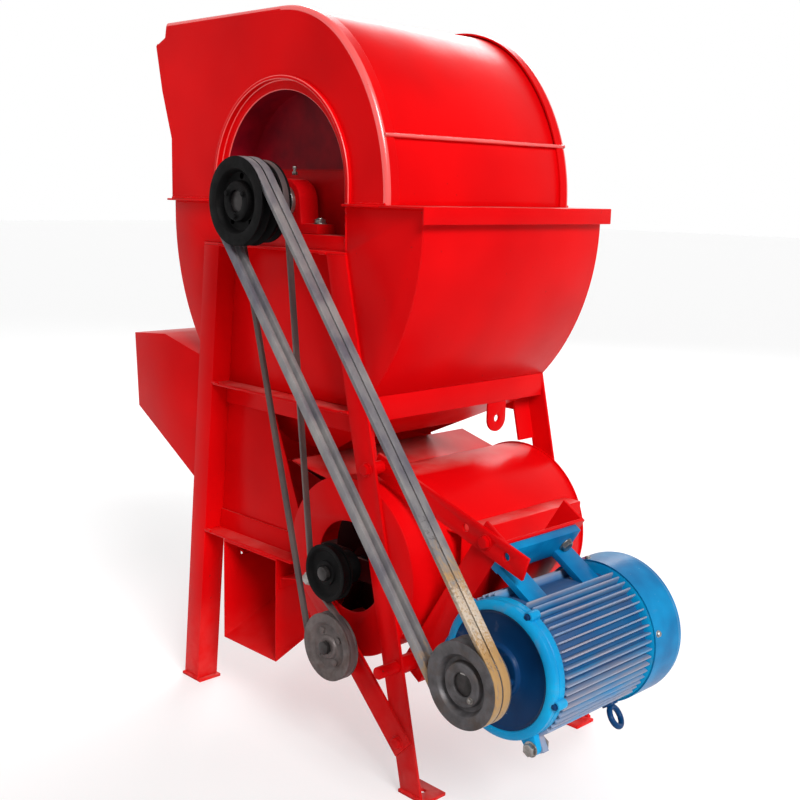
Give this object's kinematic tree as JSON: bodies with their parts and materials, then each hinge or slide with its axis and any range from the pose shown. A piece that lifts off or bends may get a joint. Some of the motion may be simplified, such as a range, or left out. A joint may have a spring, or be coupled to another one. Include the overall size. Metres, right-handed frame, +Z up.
{
  "type": "threshing machine",
  "caption": "Stationary crop thresher: round hood over a beater drum, belt-driven cleaning fan, husk duct, grain spout and a foot-mounted electric motor on splayed angle legs.",
  "frame": {"origin": "centre of the four anchor holes in the feet, on the floor", "axes": "+Z up, +X from the husk duct towards the motor, +Y along the shafts away from the belt side"},
  "size_m": [1.214, 0.611, 1.373],
  "materials": {
    "red_paint": "glossy red enamel",
    "blue_paint": "satin blue enamel",
    "belt_rubber": "dusty dark grey",
    "grey_iron": "bare grey casting",
    "black_iron": "black painted casting",
    "bright_steel": "turned steel",
    "painted_iron": "red painted casting",
    "steel_core": "laminated steel"
  },
  "bodies": {
    "machine": {"end_plate_near": "red_paint", "end_plate_far": "red_paint", "arch_rims": "red_paint", "hood_sheet": "red_paint", "hood_skirt": "red_paint", "feed_wall": "red_paint", "side_flanges": "red_paint", "end_flanges": "red_paint", "trough_sheet_right": "red_paint", "trough_sheet_left": "red_paint", "trough_ends": "red_paint", "bearing_niches": "red_paint", "bearing_beams": "red_paint", "drum_bearings": "painted_iron", "leg_near_left": "red_paint", "leg_near_right": "red_paint", "leg_far_left": "red_paint", "leg_far_right": "red_paint", "foot_plates": "red_paint", "cross_rails": "red_paint", "side_rails": "red_paint", "upper_panels": "red_paint", "lower_panels": "red_paint", "chamber_walls": "red_paint", "concave_grate": "red_paint", "funnel": "red_paint", "husk_duct": "red_paint", "grain_spout": "red_paint", "fan_casing": "red_paint", "fan_end_plates": "red_paint", "fan_carriers": "red_paint", "fan_bearings": "black_iron", "fan_casing_ledge": "red_paint", "motor_pivot_rod": "red_paint", "motor_mount": "red_paint", "tension_strap": "red_paint", "braces": "red_paint", "idler_axle": "bright_steel", "hanging_lug": "red_paint", "motor_housing": "blue_paint", "motor_stator": "steel_core", "motor_shields": "blue_paint", "motor_fan_cover": "blue_paint", "motor_feet": "blue_paint", "motor_eyebolt": "blue_paint", "main_belts": "belt_rubber", "fan_belt": "belt_rubber", "bolts": "bright_steel"},
    "drum": {"drum_shaft": "bright_steel", "drum_rotor": "red_paint", "drum_pulley": "black_iron", "fan_drive_pulley": "black_iron"},
    "motor_shaft": {"motor_rotor": "bright_steel", "motor_pulley": "grey_iron", "motor_fan": "black_iron"},
    "idler": {"idler_pulley": "grey_iron"},
    "fan": {"fan_shaft": "bright_steel", "fan_impeller": "red_paint", "fan_pulley": "black_iron"}
  },
  "joints": [
    {"name": "drum_spin", "type": "hinge", "parent": "machine", "child": "drum", "pos_m": [-0.036, 0, 1.028], "axis": [0, 1, 0], "continuous": true},
    {"name": "motor_spin", "type": "hinge", "parent": "machine", "child": "motor_shaft", "pos_m": [0.538, 0, 0.309], "axis": [0, 1, 0], "continuous": true},
    {"name": "idler_spin", "type": "hinge", "parent": "machine", "child": "idler", "pos_m": [0.17, -0.288, 0.244], "axis": [0, 1, 0], "continuous": true},
    {"name": "fan_spin", "type": "hinge", "parent": "machine", "child": "fan", "pos_m": [0.163, 0, 0.381], "axis": [0, 1, 0], "continuous": true}
  ],
  "couplings": [
    {"joint": "motor_spin", "follows": "drum_spin", "ratio": 1.1364},
    {"joint": "idler_spin", "follows": "drum_spin", "ratio": 1.2034},
    {"joint": "fan_spin", "follows": "drum_spin", "ratio": -1.4087}
  ]
}
